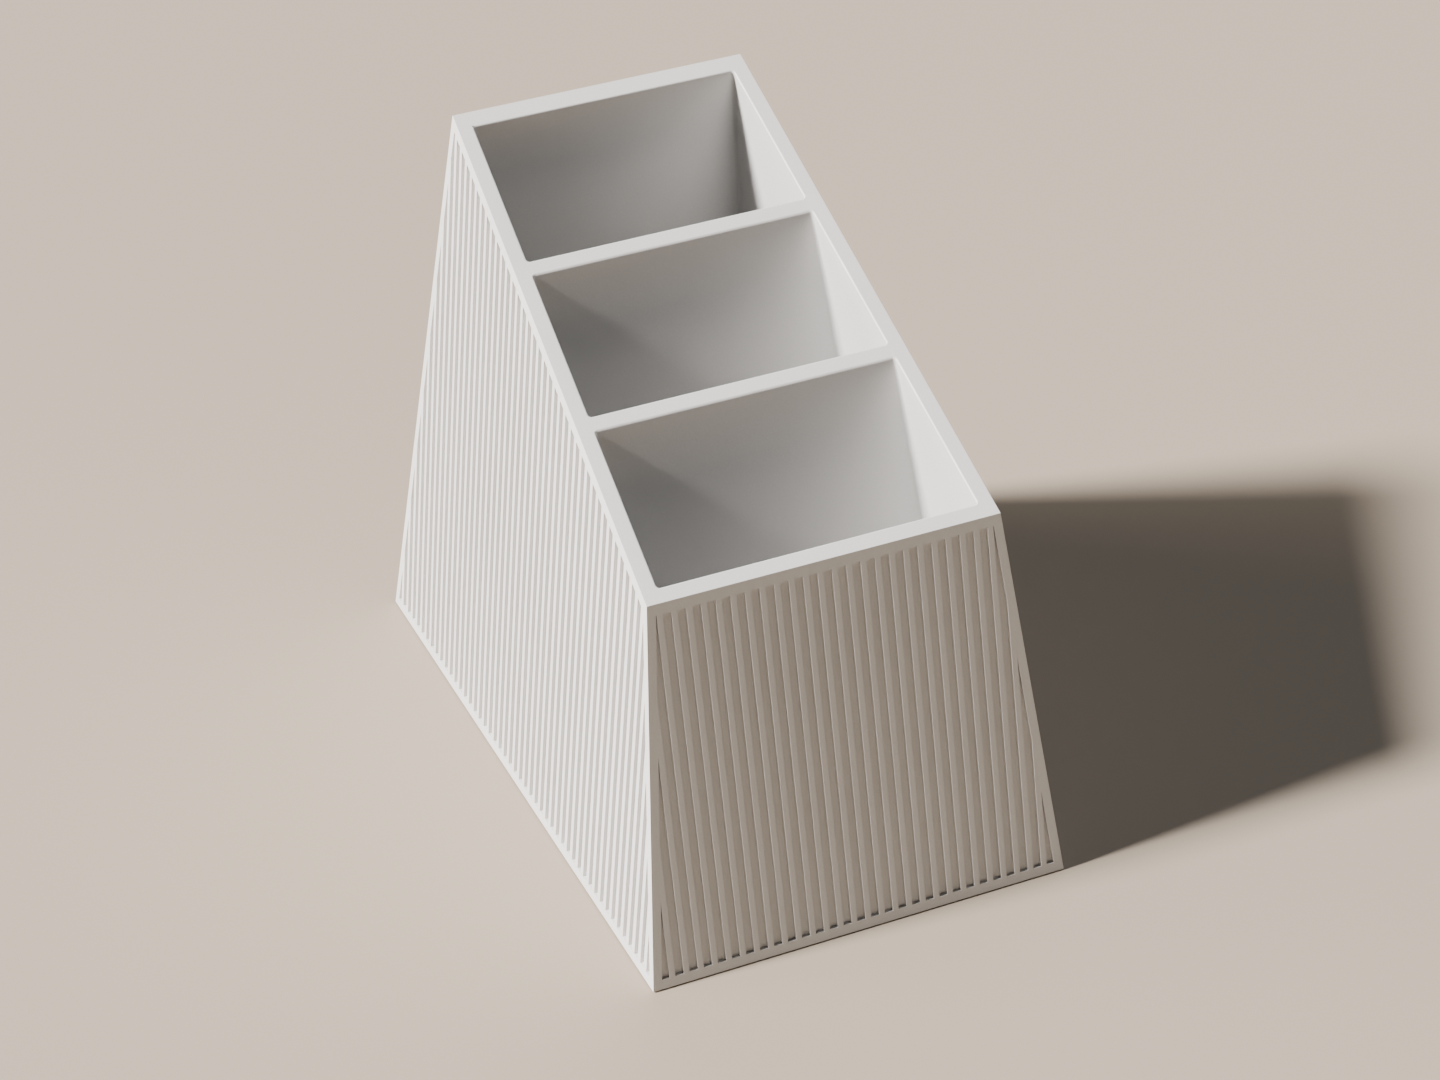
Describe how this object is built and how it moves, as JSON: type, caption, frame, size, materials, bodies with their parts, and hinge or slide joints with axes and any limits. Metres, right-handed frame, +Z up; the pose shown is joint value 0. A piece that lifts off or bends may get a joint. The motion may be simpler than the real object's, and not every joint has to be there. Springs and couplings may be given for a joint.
{
  "type": "pen holder cup",
  "caption": "Tapered desk cup for pens with grooved outer walls, a rim that slopes down to the front and leaning dividers between stepped pockets.",
  "frame": {"origin": "on the table under the centre of the base, level with the underside of the foot pads", "axes": "+X to the user's right, +Y to the tall back, +Z up"},
  "size_m": [0.0896, 0.1502, 0.1304],
  "materials": {
    "cup_plastic": "matte off-white with a very fine grain",
    "base_plastic": "matte off-white, slightly rougher",
    "foot_rubber": "matte dark grey rubber"
  },
  "bodies": {
    "root": {"shell": "cup_plastic", "front_divider": "cup_plastic", "rear_divider": "cup_plastic", "base_plate": "base_plastic", "foot_front_left": "foot_rubber", "foot_front_right": "foot_rubber", "foot_rear_left": "foot_rubber", "foot_rear_right": "foot_rubber"}
  },
  "joints": []
}
